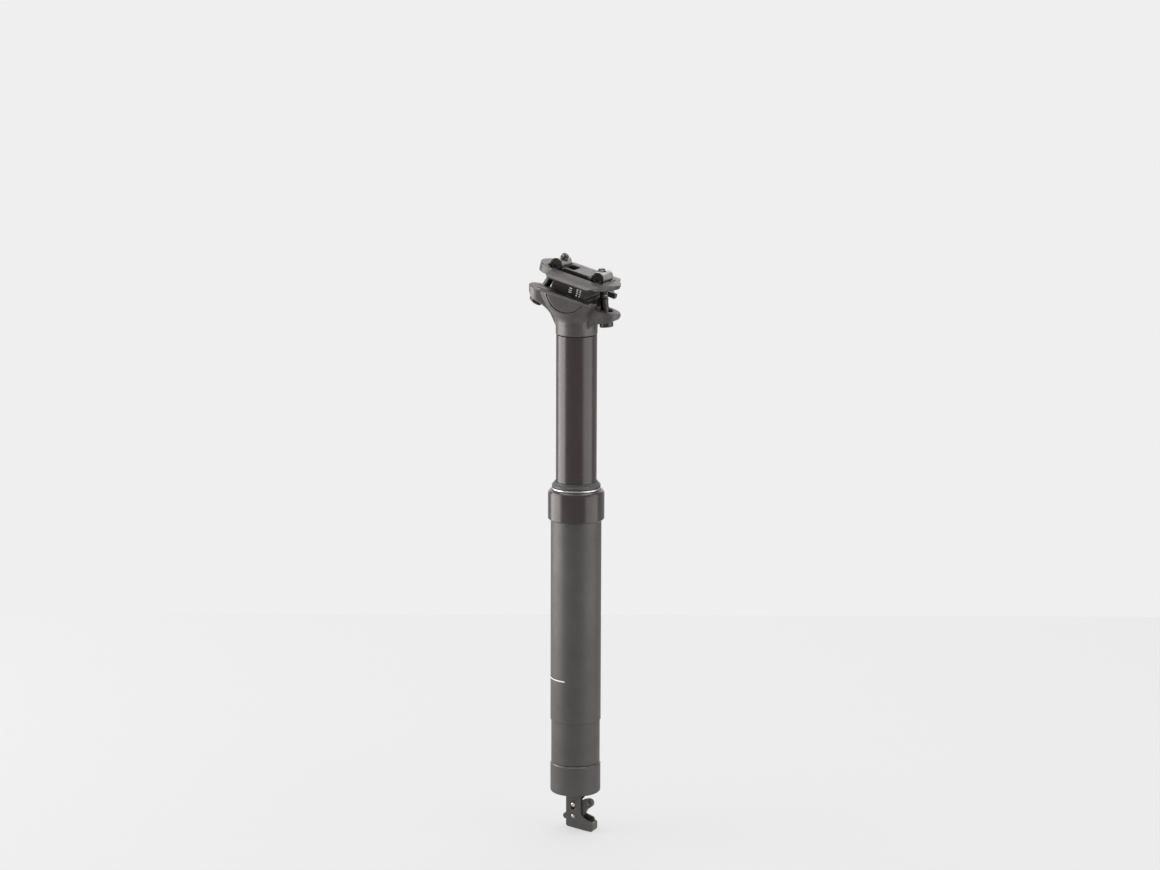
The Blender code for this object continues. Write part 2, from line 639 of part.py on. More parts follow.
def main():
    clear_scene()
    matt = material("matt black", (0.075, 0.07, 0.068), 0.55, 0.6)
    gloss = material("gloss black", (0.03, 0.026, 0.026), 0.16, 0.7)
    forged = material("forged black", (0.09, 0.083, 0.08), 0.45, 0.7)
    clamp_look = material("clamp black", (0.05, 0.045, 0.045), 0.5, 0.5)
    steel = material("steel", (0.55, 0.54, 0.52), 0.28, 1.0)
    dark_steel = material("dark steel", (0.06, 0.055, 0.055), 0.35, 0.9)
    brass = material("brass", (0.75, 0.56, 0.28), 0.3, 1.0)
    rubber = material("rubber", (0.03, 0.03, 0.03), 0.7, 0.0)
    plastic = material("bearing plastic", (0.12, 0.12, 0.11), 0.6, 0.0)

    make_outer_tube(matt)
    make_collar(gloss)
    make_wiper_ring(steel)
    make_wiper_seal(rubber)
    make_upper_bushing(plastic)
    make_end_cap(matt)
    make_rod_nut(steel)
    make_cartridge_rod(steel)
    make_cartridge_piston(plastic)

    make_stanchion(gloss)
    for index in range(3):
        make_guide_key(index, brass)
    make_lower_bushing(plastic)
    low = POST_BOTTOM
    split_ring("retaining_clip", 12.35, 13.7, low + 1.2, low + 2.2, steel)
    split_ring("cartridge_clip", 8.5, 11.2, low + 4.4, low + 5.4, steel)
    make_cartridge_body(steel)
    make_cartridge_gland(plastic)

    make_head(forged)
    for side, where in ((1, "front"), (-1, "rear")):
        make_seat_washer(side, where, dark_steel)
        make_clamp_bolt(side, where, dark_steel)
        make_barrel_nut(side, where, steel)
    make_lower_clamp(clamp_look)
    make_upper_clamp(forged)

    make_actuator_bracket(matt)
    make_actuator_lever(matt)
    make_small_pins(steel, dark_steel)
    make_push_pin(steel)


main()
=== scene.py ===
import json
import math

import bmesh
import bpy
from mathutils import Matrix, Vector


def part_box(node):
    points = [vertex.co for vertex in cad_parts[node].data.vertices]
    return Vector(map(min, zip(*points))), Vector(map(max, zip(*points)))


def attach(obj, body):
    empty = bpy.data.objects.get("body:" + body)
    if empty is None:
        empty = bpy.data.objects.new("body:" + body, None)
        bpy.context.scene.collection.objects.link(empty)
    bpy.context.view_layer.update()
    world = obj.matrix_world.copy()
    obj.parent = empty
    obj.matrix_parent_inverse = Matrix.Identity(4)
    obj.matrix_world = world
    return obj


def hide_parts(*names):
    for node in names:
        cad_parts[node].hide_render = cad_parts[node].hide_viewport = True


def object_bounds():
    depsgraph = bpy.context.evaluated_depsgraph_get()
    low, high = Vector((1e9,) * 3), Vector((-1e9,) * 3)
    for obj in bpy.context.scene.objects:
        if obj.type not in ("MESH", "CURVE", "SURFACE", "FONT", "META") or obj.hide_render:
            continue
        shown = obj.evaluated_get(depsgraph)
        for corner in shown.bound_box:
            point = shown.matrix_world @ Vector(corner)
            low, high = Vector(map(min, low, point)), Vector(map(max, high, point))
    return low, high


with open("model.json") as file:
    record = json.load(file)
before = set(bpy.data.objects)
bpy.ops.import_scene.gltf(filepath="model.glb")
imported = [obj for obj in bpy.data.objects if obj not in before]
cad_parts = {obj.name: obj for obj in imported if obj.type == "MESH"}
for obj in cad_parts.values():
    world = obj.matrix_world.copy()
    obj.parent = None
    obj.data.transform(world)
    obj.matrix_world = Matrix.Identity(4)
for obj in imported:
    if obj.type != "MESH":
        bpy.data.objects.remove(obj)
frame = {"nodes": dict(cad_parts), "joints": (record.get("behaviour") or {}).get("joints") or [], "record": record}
cadBox = [list(corner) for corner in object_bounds()]
nodes = frame["nodes"]
joints = {joint["name"]: joint for joint in frame["joints"]}
mm = 0.001
print("frame loaded:", len(nodes), "nodes")

# measures the pieces share: the clamp pivot and the floor level are read from the frame, the tilt is given

clampSetup = {"tiltDegrees": 14.4}  # nose-down lean of the saddle clamp
clampPivot = Vector(joints["clamp_tilt"]["pos_m"])
clampFrame = Matrix.Translation(clampPivot) @ Matrix.Rotation(
    math.radians(clampSetup["tiltDegrees"]), 4, "Y")
floorLevel = cadBox[0][2]


# shader groups

def newGroup(name, inputs, outputs):
    group = bpy.data.node_groups.new(name, "ShaderNodeTree")
    for label, kind, value in inputs:
        socket = group.interface.new_socket(name=label, in_out="INPUT", socket_type=kind)
        socket.default_value = value
    for label, kind in outputs:
        group.interface.new_socket(name=label, in_out="OUTPUT", socket_type=kind)
    return group, group.nodes.new("NodeGroupInput"), group.nodes.new("NodeGroupOutput")


def math2(tree, operation, first, second, clamp=False):
    node = tree.nodes.new("ShaderNodeMath")
    node.operation = operation
    node.use_clamp = clamp
    for socket, value in zip(node.inputs, (first, second)):
        if isinstance(value, (int, float)):
            socket.default_value = value
        else:
            tree.links.new(value, socket)
    return node.outputs[0]


def remap(tree, value, low, high, toLow, toHigh):
    node = tree.nodes.new("ShaderNodeMapRange")
    for socket, part in zip(node.inputs, (value, low, high, toLow, toHigh)):
        if isinstance(part, (int, float)):
            socket.default_value = part
        else:
            tree.links.new(part, socket)
    return node.outputs[0]


def noiseOf(tree, vector, scale, detail=3.0, roughness=0.5):
    node = tree.nodes.new("ShaderNodeTexNoise")
    tree.links.new(vector, node.inputs["Vector"])
    node.inputs["Detail"].default_value = detail
    node.inputs["Roughness"].default_value = roughness
    if isinstance(scale, (int, float)):
        node.inputs["Scale"].default_value = scale
    else:
        tree.links.new(scale, node.inputs["Scale"])
    return node.outputs["Fac"]


def makeCloudGroup():  # slow changes of tone from handling and dye
    group, given, result = newGroup("cloudiness", [
        ("Vector", "NodeSocketVector", (0, 0, 0)), ("Scale", "NodeSocketFloat", 60.0),
        ("Low", "NodeSocketFloat", 0.0), ("High", "NodeSocketFloat", 1.0)],
        [("Value", "NodeSocketFloat")])
    broad = noiseOf(group, given.outputs["Vector"], given.outputs["Scale"], 4.0, 0.6)
    spread = remap(group, broad, 0.32, 0.68, given.outputs["Low"], given.outputs["High"])
    group.links.new(spread, result.inputs["Value"])
    return group


def makeGrainGroup():  # bead-blasted skin under the dye
    group, given, result = newGroup("blastGrain", [
        ("Vector", "NodeSocketVector", (0, 0, 0)), ("Scale", "NodeSocketFloat", 3500.0)],
        [("Height", "NodeSocketFloat"), ("Speck", "NodeSocketFloat")])
    fine = noiseOf(group, given.outputs["Vector"], given.outputs["Scale"], 2.0, 0.65)
    cells = group.nodes.new("ShaderNodeTexVoronoi")
    group.links.new(given.outputs["Vector"], cells.inputs["Vector"])
    group.links.new(math2(group, "MULTIPLY", given.outputs["Scale"], 0.45), cells.inputs["Scale"])
    both = math2(group, "ADD", math2(group, "MULTIPLY", fine, 0.6),
                 math2(group, "MULTIPLY", cells.outputs["Distance"], 0.4))
    group.links.new(both, result.inputs["Height"])
    group.links.new(remap(group, fine, 0.62, 0.74, 0.0, 1.0), result.inputs["Speck"])
    return group


def makeWearGroup():  # dye rubbed off along edges
    group, given, result = newGroup("edgeWear", [
        ("Vector", "NodeSocketVector", (0, 0, 0)), ("Edge", "NodeSocketFloat", 0.53),
        ("Patchiness", "NodeSocketFloat", 350.0), ("Amount", "NodeSocketFloat", 0.5)],
        [("Mask", "NodeSocketFloat")])
    geometry = group.nodes.new("ShaderNodeNewGeometry")
    high = math2(group, "ADD", given.outputs["Edge"], 0.05)
    edge = remap(group, geometry.outputs["Pointiness"], given.outputs["Edge"], high, 0.0, 1.0)
    patches = noiseOf(group, given.outputs["Vector"], given.outputs["Patchiness"], 3.0)
    broken = remap(group, patches, 0.40, 0.62, 0.25, 1.0)
    mask = math2(group, "MULTIPLY", math2(group, "MULTIPLY", edge, broken),
                 given.outputs["Amount"], True)
    group.links.new(mask, result.inputs["Mask"])
    return group


def makeLatheGroup():  # rings left by the turning tool, round the Z axis
    group, given, result = newGroup("latheRings", [
        ("Vector", "NodeSocketVector", (0, 0, 0)), ("Pitch", "NodeSocketFloat", 0.0003)],
        [("Height", "NodeSocketFloat")])
    split = group.nodes.new("ShaderNodeSeparateXYZ")
    group.links.new(given.outputs["Vector"], split.inputs[0])
    turns = math2(group, "DIVIDE", split.outputs["Z"], given.outputs["Pitch"])
    wave = math2(group, "SINE", math2(group, "MULTIPLY", turns, 6.2832), 0.0)
    drift = noiseOf(group, given.outputs["Vector"], 90.0, 2.0)
    group.links.new(math2(group, "MULTIPLY", wave, drift), result.inputs["Height"])
    return group


cloudGroup = makeCloudGroup()
grainGroup = makeGrainGroup()
wearGroup = makeWearGroup()
latheGroup = makeLatheGroup()


# materials

def useGroup(tree, group, vector, values):
    node = tree.nodes.new("ShaderNodeGroup")
    node.node_tree = group
    tree.links.new(vector, node.inputs["Vector"])
    for label, value in values.items():
        node.inputs[label].default_value = value
    return node


def blendColours(tree, factor, first, second):
    node = tree.nodes.new("ShaderNodeMix")
    node.data_type = "RGBA"
    tree.links.new(factor, node.inputs[0])
    for socket, value in ((node.inputs[6], first), (node.inputs[7], second)):
        if isinstance(value, tuple):
            socket.default_value = (*value, 1)
        else:
            tree.links.new(value, socket)
    return node.outputs[2]


def makeFinish(name, dark, light, metallic, roughness, grain=(3500.0, 0.000012), cloud=60.0,
               wear=0.0, wornTo=(0.42, 0.41, 0.40), edge=0.53, rings=None, coat=0.0,
               specular=0.5):
    finish = bpy.data.materials.new(name)
    finish.use_nodes = True
    tree = finish.node_tree
    shader = tree.nodes["Principled BSDF"]
    where = tree.nodes.new("ShaderNodeTexCoord").outputs["Object"]
    tone = useGroup(tree, cloudGroup, where, {"Scale": cloud})
    skin = useGroup(tree, grainGroup, where, {"Scale": grain[0]})
    colour = blendColours(tree, tone.outputs["Value"], dark, light)
    speck = math2(tree, "MULTIPLY", skin.outputs["Speck"], 0.25)
    colour = blendColours(tree, speck, colour, tuple(min(1.0, c * 1.7) for c in light))
    rough = useGroup(tree, cloudGroup, where, {"Scale": cloud * 1.7, "Low": roughness[0],
                                               "High": roughness[1]}).outputs["Value"]
    shine = None
    if wear > 0:
        mask = useGroup(tree, wearGroup, where, {"Edge": edge, "Amount": wear}).outputs["Mask"]
        colour = blendColours(tree, mask, colour, wornTo)
        shine = remap(tree, mask, 0.0, 1.0, metallic, 1.0)
    tree.links.new(colour, shader.inputs["Base Color"])
    tree.links.new(rough, shader.inputs["Roughness"])
    shader.inputs["Metallic"].default_value = metallic
    if shine is not None:
        tree.links.new(shine, shader.inputs["Metallic"])
    shader.inputs["Coat Weight"].default_value = coat
    shader.inputs["Coat Roughness"].default_value = 0.12
    shader.inputs["Specular IOR Level"].default_value = specular
    bump = tree.nodes.new("ShaderNodeBump")
    bump.inputs["Strength"].default_value = 0.6
    bump.inputs["Distance"].default_value = grain[1]
    tree.links.new(skin.outputs["Height"], bump.inputs["Height"])
    normal = bump.outputs["Normal"]
    if rings:
        marks = useGroup(tree, latheGroup, where, {"Pitch": rings[0]})
        turned = tree.nodes.new("ShaderNodeBump")
        turned.inputs["Strength"].default_value = 0.5
        turned.inputs["Distance"].default_value = rings[1]
        tree.links.new(marks.outputs["Height"], turned.inputs["Height"])
        tree.links.new(normal, turned.inputs["Normal"])
        normal = turned.outputs["Normal"]
    tree.links.new(normal, shader.inputs["Normal"])
    return finish


finishes = {
    "tube_black": makeFinish("satinTubeBlack", (0.072, 0.067, 0.066), (0.088, 0.082, 0.081),
                             0.55, (0.45, 0.53), (4200.0, 0.000010), 45.0, 0.35, edge=0.56),
    "gloss_black": makeFinish("glossTubeBlack", (0.036, 0.026, 0.027), (0.044, 0.032, 0.033),
                              0.25, (0.22, 0.29), (2600.0, 0.000002), 35.0, 0.2, edge=0.57,
                              rings=(0.00022, 0.0000012), coat=0.06),
    "forged_black": makeFinish("forgedBlack", (0.074, 0.067, 0.065), (0.098, 0.090, 0.087),
                               0.6, (0.34, 0.46), (2600.0, 0.000022), 120.0, 0.35,
                               wornTo=(0.19, 0.18, 0.175), edge=0.55),
    # this dark finish is also used as painted shade on the clamp's trough and the rocker's middle
    "clamp_black": makeFinish("clampBlackAndShade", (0.030, 0.023, 0.023), (0.040, 0.032, 0.032),
                              0.5, (0.34, 0.48), (3000.0, 0.000018), 150.0, 0.5, edge=0.53),
    "bracket_black": makeFinish("bracketBlack", (0.068, 0.065, 0.062), (0.088, 0.084, 0.081),
                                0.5, (0.36, 0.48), (3200.0, 0.000014), 160.0, 0.5, edge=0.53),
    "bright_ring": makeFinish("brightTurnedRing", (0.40, 0.395, 0.39), (0.50, 0.495, 0.49),
                              1.0, (0.28, 0.36), (3000.0, 0.000003), 90.0,
                              rings=(0.00018, 0.0000015)),
    "plain_steel": makeFinish("brightSteel", (0.42, 0.415, 0.40), (0.54, 0.53, 0.515),
                              1.0, (0.22, 0.34), (3000.0, 0.000006), 220.0),
    "nut_steel": makeFinish("nickelNut", (0.38, 0.37, 0.355), (0.50, 0.49, 0.475),
                            1.0, (0.24, 0.36), (2600.0, 0.000006), 260.0),
    # dark steel of the bolts and washers; also put on the barrel nuts' ends as a painted reflection of dark
    # surroundings
    "dark_steel": makeFinish("blackenedSteelAndReflectedDark", (0.036, 0.032, 0.032), (0.056, 0.050, 0.050),
                             0.8, (0.26, 0.38), (3000.0, 0.000008), 260.0, 0.5,
                             wornTo=(0.30, 0.29, 0.28), edge=0.54),
    "key_brass": makeFinish("keyBrass", (0.70, 0.50, 0.23), (0.80, 0.60, 0.31),
                            1.0, (0.24, 0.36), (2800.0, 0.000006), 200.0),
    "rubber_black": makeFinish("wiperRubber", (0.036, 0.034, 0.034), (0.052, 0.050, 0.049),
                               0.0, (0.42, 0.58), (2000.0, 0.000020), 160.0),
    "bearing_plastic": makeFinish("bearingPlastic", (0.10, 0.10, 0.095), (0.14, 0.14, 0.13),
                                  0.0, (0.45, 0.6), (1800.0, 0.000012), 120.0),
}
whiteInk = makeFinish("whiteInk", (0.74, 0.74, 0.73), (0.86, 0.86, 0.85), 0.0, (0.45, 0.6),
                      (3000.0, 0.000004), 400.0)
upperBlack = makeFinish("upperPlateBlack", (0.054, 0.048, 0.046), (0.072, 0.065, 0.062), 0.6,
                        (0.30, 0.40), (2600.0, 0.000020), 120.0, 0.45, wornTo=(0.26, 0.25, 0.24),
                        edge=0.54)
# lighter metal for the cap's top chamfer ring: a painted highlight along the seam
capChamferHighlight = makeFinish("capChamferHighlight", (0.10, 0.097, 0.095), (0.15, 0.146, 0.143), 0.9, (0.32, 0.42),
                      (3000.0, 0.000004), 200.0)

for nodeName, node in nodes.items():  # every node the frame brought takes its real finish
    for part in frame["record"]["subparts"]:
        if part["node"] == nodeName:
            node.data.materials.clear()
            node.data.materials.append(finishes[part["material_slot"]])
print("finishes made:", len(finishes) + 3)


# mesh tools

def toObject(name, shape, material, sharpDegrees=32):
    data = bpy.data.meshes.new(name)
    shape.to_mesh(data)
    shape.free()
    piece = bpy.data.objects.new(name, data)
    bpy.context.scene.collection.objects.link(piece)
    data.materials.append(material)
    data.shade_smooth()
    data.set_sharp_from_angle(angle=math.radians(sharpDegrees))
    return piece


def settle(piece, sharpDegrees=None):  # the modifiers' result becomes the piece's own mesh
    bpy.context.view_layer.update()
    graph = bpy.context.evaluated_depsgraph_get()
    data = bpy.data.meshes.new_from_object(piece.evaluated_get(graph))
    piece.modifiers.clear()
    old = piece.data
    piece.data = data
    bpy.data.meshes.remove(old)
    data.shade_smooth()
    if sharpDegrees:
        data.set_sharp_from_angle(angle=math.radians(sharpDegrees))
    return piece


def belongs(piece, body, node):
    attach(piece, body)
    if node:
        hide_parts(node)


def filleted(corners, steps=5, guard=0.12):  # (radius, height, fillet) corners, in mm
    path = []
    for index, (radius, height, fillet) in enumerate(corners):
        here = Vector((radius, height))
        toBefore = Vector(corners[index - 1][:2]) - here
        toAfter = Vector(corners[(index + 1) % len(corners)][:2]) - here
        if fillet <= 0:
            path.append(here)
            continue
        half = toBefore.angle(toAfter) / 2
        reach = min(fillet / math.tan(half), toBefore.length * 0.45, toAfter.length * 0.45)
        start = here + toBefore.normalized() * reach
        end = here + toAfter.normalized() * reach
        if toBefore.length * 0.5 > reach + guard:
            path.append(start + toBefore.normalized() * guard)
        for step in range(steps + 1):
            t = step / steps
            path.append(start * (1 - t) ** 2 + here * 2 * t * (1 - t) + end * t ** 2)
        if toAfter.length * 0.5 > reach + guard:
            path.append(end + toAfter.normalized() * guard)
    return path


def turnedShape(path, segments, place=None):
    shape = bmesh.new()
    rings = []
    for radius, height in path:
        if radius < 1e-5:
            rings.append([shape.verts.new((0, 0, height * mm))])
            continue
        rings.append([shape.verts.new((radius * mm * math.cos(2 * math.pi * step / segments),
                                       radius * mm * math.sin(2 * math.pi * step / segments),
                                       height * mm)) for step in range(segments)])
    for here, after in zip(rings, rings[1:] + rings[:1]):
        if len(here) == 1 and len(after) == 1:
            continue
        for step in range(segments):
            other = (step + 1) % segments
            corners = [here[step % len(here)], here[other % len(here)],
                       after[other % len(after)], after[step % len(after)]]
            shape.faces.new(list(dict.fromkeys(corners)))
    bmesh.ops.recalc_face_normals(shape, faces=shape.faces)
    if place is not None:
        bmesh.ops.transform(shape, matrix=place, verts=shape.verts)
    return shape


def blockShape(outline, low, high, place=None):  # outline in mm, pulled from low to high
    shape = bmesh.new()
    ends = [[shape.verts.new((x * mm, y * mm, level * mm)) for x, y in outline]
            for level in (low, high)]
    shape.faces.new(ends[0])
    shape.faces.new(list(reversed(ends[1])))
    for step in range(len(outline)):
        other = (step + 1) % len(outline)
        shape.faces.new((ends[0][step], ends[1][step], ends[1][other], ends[0][other]))
    bmesh.ops.recalc_face_normals(shape, faces=shape.faces)
    if place is not None:
        bmesh.ops.transform(shape, matrix=place, verts=shape.verts)
    return shape


def cutAway(piece, shapes, sharpDegrees=32):
    cutters = []
    for shape in shapes:
        cutter = toObject("cutter", shape, whiteInk)
        step = piece.modifiers.new("cut", "BOOLEAN")
        step.operation = "DIFFERENCE"
        step.solver = "EXACT"
        step.object = cutter
        cutters.append(cutter)
    material = piece.data.materials[0]
    settle(piece, sharpDegrees)
    for cutter in cutters:
        bpy.data.objects.remove(cutter, do_unlink=True)
    while len(piece.data.materials) > 1:
        piece.data.materials.pop()
    piece.data.materials[0] = material
    return piece


def softCopy(nodeName, name, voxel, passes, material, regain=0.0):  # a forged or cast piece, edges eased
    shape = bmesh.new()
    shape.from_mesh(nodes[nodeName].data)
    bmesh.ops.remove_doubles(shape, verts=shape.verts, dist=1e-6)
    piece = toObject(name, shape, material, 180)
    remesh = piece.modifiers.new("skin", "REMESH")
    remesh.mode = "VOXEL"
    remesh.voxel_size = voxel * mm
    remesh.use_smooth_shade = True
    ease = piece.modifiers.new("ease", "SMOOTH")
    ease.factor = 0.5
    ease.iterations = passes
    if regain:  # swells the skin a little, so that joints between pieces stay narrow
        swell = piece.modifiers.new("swell", "DISPLACE")
        swell.mid_level = 0.0
        swell.strength = regain * mm
    return settle(piece)


def bevelledCopy(nodeName, name, width, material, segments=3):
    shape = bmesh.new()
    shape.from_mesh(nodes[nodeName].data)
    bmesh.ops.remove_doubles(shape, verts=shape.verts, dist=1e-6)
    bmesh.ops.dissolve_limit(shape, angle_limit=math.radians(1), verts=shape.verts,
                             edges=shape.edges)
    piece = toObject(name, shape, material)
    bevel = piece.modifiers.new("edge", "BEVEL")
    bevel.width = width * mm
    bevel.segments = segments
    bevel.limit_method = "ANGLE"
    bevel.angle_limit = math.radians(40)
    return settle(piece, 32)


# Geometry Nodes tools

def newTree(name, inputs):
    tree = bpy.data.node_groups.new(name, "GeometryNodeTree")
    for label, kind, value in inputs:
        socket = tree.interface.new_socket(name=label, in_out="INPUT", socket_type=kind)
        if value is not None:
            socket.default_value = value
    tree.interface.new_socket(name="Geometry", in_out="OUTPUT",
                              socket_type="NodeSocketGeometry")
    return tree, tree.nodes.new("NodeGroupInput"), tree.nodes.new("NodeGroupOutput")


def closeTree(tree, given, result, geometry):  # real mesh, smooth, with its material
    realize = tree.nodes.new("GeometryNodeRealizeInstances")
    paint = tree.nodes.new("GeometryNodeSetMaterial")
    tree.links.new(geometry, realize.inputs[0])
    tree.links.new(realize.outputs[0], paint.inputs["Geometry"])
    tree.links.new(given.outputs["Material"], paint.inputs["Material"])
    tree.links.new(paint.outputs[0], result.inputs[0])


def grow(name, tree, values, place=None, sharpDegrees=32):
    piece = bpy.data.objects.new(name, bpy.data.meshes.new(name))
    bpy.context.scene.collection.objects.link(piece)
    modifier = piece.modifiers.new("grow", "NODES")
    modifier.node_group = tree
    for item in tree.interface.items_tree:
        if item.item_type == "SOCKET" and item.in_out == "INPUT" and item.name in values:
            modifier[item.identifier] = values[item.name]
    settle(piece, sharpDegrees)
    if place is not None:
        piece.data.transform(place)
    return piece


# outer tube, collar, wiper and end cap

outerSetup = {"tubeRadius": 15.8, "relief": 15.3, "bore": 14.1, "collarRadius": 17.6,
              "capRadius": 15.8, "capTop": 19.4, "reliefTop": 46.8, "collarLow": 176.2,
              "collarTop": 195.5, "facets": 144}
keyAngles = [math.radians(turn) for turn in (60, 180, 300)]


def keyBlocks(inner, outer, half, low, high):  # one block for each guide key
    outline = [(inner, -half), (outer, -half), (outer, half), (inner, half)]
    return [blockShape(outline, low, high, Matrix.Rotation(turn, 4, "Z")) for turn in keyAngles]


def makeOuterTube():
    s = outerSetup
    path = filleted([
        (s["bore"], s["capTop"] + 0.3, 0), (s["relief"] - 0.3, s["capTop"] + 0.3, 0),
        (s["relief"], s["capTop"] + 0.6, 0.1), (s["relief"], s["reliefTop"], 0.15),
        (s["tubeRadius"], s["reliefTop"] + 0.45, 0.25),
        (s["tubeRadius"], s["collarLow"] - 0.2, 0.2),
        (15.2, s["collarLow"] + 0.4, 0), (15.2, 188.0, 0), (s["bore"], 188.0, 0)])
    tube = toObject("lowerTube", turnedShape(path, s["facets"]), finishes["tube_black"], 40)
    cutAway(tube, keyBlocks(13.0, 14.75, 1.9, 52.5, 190.0))
    belongs(tube, "outer", "outer_tube")


def makeCollar():
    s = outerSetup
    low, top, radius = s["collarLow"] + 0.1, s["collarTop"], s["collarRadius"]
    path = filleted([
        (15.5, low, 0), (radius - 0.5, low, 0.2), (radius, low + 0.6, 0.3),
        (radius, top - 2.4, 1.1), (radius - 0.7, top - 0.9, 0.8), (radius - 2.0, top, 0.4),
        (14.2, top, 0.1), (14.2, 188.3, 0), (15.5, 188.3, 0)], steps=6)
    collar = toObject("sealCollar", turnedShape(path, s["facets"]), finishes["gloss_black"], 40)
    belongs(collar, "outer", "collar")


def makeWiper():
    path = filleted([(14.25, 195.8, 0.1), (15.6, 195.8, 0.15), (15.6, 196.75, 0.3),
                     (14.25, 196.75, 0.1)])
    ring = toObject("wiperBand", turnedShape(path, 144), finishes["bright_ring"], 40)
    belongs(ring, "outer", "wiper_ring")
    path = filleted([
        (13.35, 190.0, 0), (13.9, 190.0, 0), (13.9, 196.95, 0), (15.15, 196.95, 0.25),
        (15.1, 198.4, 0.4), (14.35, 198.95, 0.15), (14.3, 199.25, 0.15), (13.75, 199.4, 0.15),
        (13.6, 200.1, 0.2), (12.95, 200.4, 0.15), (12.85, 199.7, 0.1), (13.25, 198.4, 0.2),
        (13.25, 193.6, 0.2), (12.85, 192.8, 0.1), (12.85, 191.6, 0.1)], steps=4)
    seal = toObject("wiperLip", turnedShape(path, 144), finishes["rubber_black"], 60)
    belongs(seal, "outer", "wiper_seal")


def makeEndCap():
    s = outerSetup
    top = s["capTop"]
    path = filleted([
        (3.7, 0.0, 0.3), (s["capRadius"], 0.0, 1.7), (s["capRadius"], top - 1.0, 0.25),
        (s["capRadius"] - 0.8, top, 0.12), (13.8, top, 0), (13.8, top + 10.6, 0.4),
        (11.5, top + 10.6, 0.3), (11.5, 6.0, 0.6), (4.3, 6.0, 0), (4.3, 4.0, 0),
        (3.7, 4.0, 0)], steps=7)
    cap = toObject("bottomCap", turnedShape(path, s["facets"]), finishes["tube_black"], 40)
    belongs(cap, "outer", "end_cap")
    # a thin ring of lighter metal on the cap's top chamfer, painted highlight along the seam
    edgePath = [(s["capRadius"] - 0.83, top + 0.01), (s["capRadius"] - 0.2, top - 0.78),
                (s["capRadius"] - 0.16, top - 0.74), (s["capRadius"] - 0.79, top + 0.05)]
    edge = toObject("capEdge", turnedShape(edgePath, s["facets"]), capChamferHighlight, 40)
    belongs(edge, "outer", None)


makeOuterTube()
makeCollar()
makeWiper()
makeEndCap()
print("outer tube, collar, wiper and cap made")


# insertion line: white, round the back half of the tube

lineSetup = {"height": 74.5, "thick": 0.62, "proud": 0.035, "from": -92.0, "sweep": -180.0}


def makeInsertionLine():
    tree, given, result = newTree("insertionLine", [
        ("Radius", "NodeSocketFloat", 0.0158), ("Thick", "NodeSocketFloat", 0.0006),
        ("Proud", "NodeSocketFloat", 0.00003), ("Start", "NodeSocketFloat", 0.0),
        ("Sweep", "NodeSocketFloat", 3.14), ("Material", "NodeSocketMaterial", None)])
    bow = tree.nodes.new("GeometryNodeCurveArc")
    bow.inputs["Resolution"].default_value = 120
    strip = tree.nodes.new("GeometryNodeCurvePrimitiveQuadrilateral")
    sweep = tree.nodes.new("GeometryNodeCurveToMesh")
    sweep.inputs["Fill Caps"].default_value = True
    for source, node, socket in (("Radius", bow, "Radius"), ("Start", bow, "Start Angle"),
                                 ("Sweep", bow, "Sweep Angle"), ("Proud", strip, "Width"),
                                 ("Thick", strip, "Height")):
        tree.links.new(given.outputs[source], node.inputs[socket])
    tree.links.new(bow.outputs[0], sweep.inputs["Curve"])
    tree.links.new(strip.outputs[0], sweep.inputs["Profile Curve"])
    closeTree(tree, given, result, sweep.outputs[0])
    s = lineSetup
    line = grow("insertionLine", tree, {
        "Radius": outerSetup["tubeRadius"] * mm, "Thick": s["thick"] * mm,
        "Proud": 2 * s["proud"] * mm, "Start": math.radians(s["from"] + s["sweep"]),
        "Sweep": math.radians(-s["sweep"]), "Material": whiteInk},
        Matrix.Translation((0, 0, s["height"] * mm)))
    belongs(line, "outer", None)


makeInsertionLine()


# upper tube

postSetup = {"radius": 12.7, "bore": 10.9, "low": 122.0, "top": 292.95, "facets": 144}


def makePost():
    s = postSetup
    low = s["low"]
    path = filleted([
        (s["bore"], low, 0), (s["radius"], low, 0.4), (s["radius"], low + 1.0, 0),
        (12.1, low + 1.0, 0), (12.1, low + 2.4, 0), (s["radius"], low + 2.4, 0),
        (s["radius"], s["top"], 0.2), (s["bore"], s["top"], 0), (s["bore"], low + 5.6, 0),
        (11.5, low + 5.6, 0), (11.5, low + 4.2, 0), (s["bore"], low + 4.2, 0)])
    post = toObject("upperTube", turnedShape(path, s["facets"]), finishes["gloss_black"], 40)
    cutAway(post, keyBlocks(12.0, 13.5, 1.8, low + 20.7, low + 32.3))
    belongs(post, "upper_post", "stanchion")


makePost()
print("insertion line and upper tube made")


# forged head and clamp plates

forgeSetup = {"headVoxel": 0.34, "clampVoxel": 0.30, "bracketVoxel": 0.22, "headEase": 14,
              "clampEase": 7, "bracketEase": 5, "headRegain": 0.09, "rockerRegain": 0.162}
# stretches of the clamp painted darker as shade (the trough between crown and wing, which lies in shadow, and the
# rocker's middle, in shade under the upper plate), as ranges along, across and up from its pivot, in mm
paintedShadeTroughs = {"along": (0, 16.0), "across": (7.2, 12.3), "up": (6.4, 10.8)}
paintedShadeMiddle = {"along": (0, 11.0), "across": (0, 17.3), "up": (-1.2, 99.0)}


# paints the faces inside a zone with the dark clamp finish, as painted shade
def paintShade(piece, zone):
    toClamp = clampFrame.inverted()
    piece.data.materials.append(finishes["clamp_black"])
    for face in piece.data.polygons:
        spot = toClamp @ face.center / mm
        places = ((abs(spot.x), "along"), (abs(spot.y), "across"), (spot.z, "up"))
        if all(zone[way][0] <= place <= zone[way][1] for place, way in places):
            face.material_index = 1


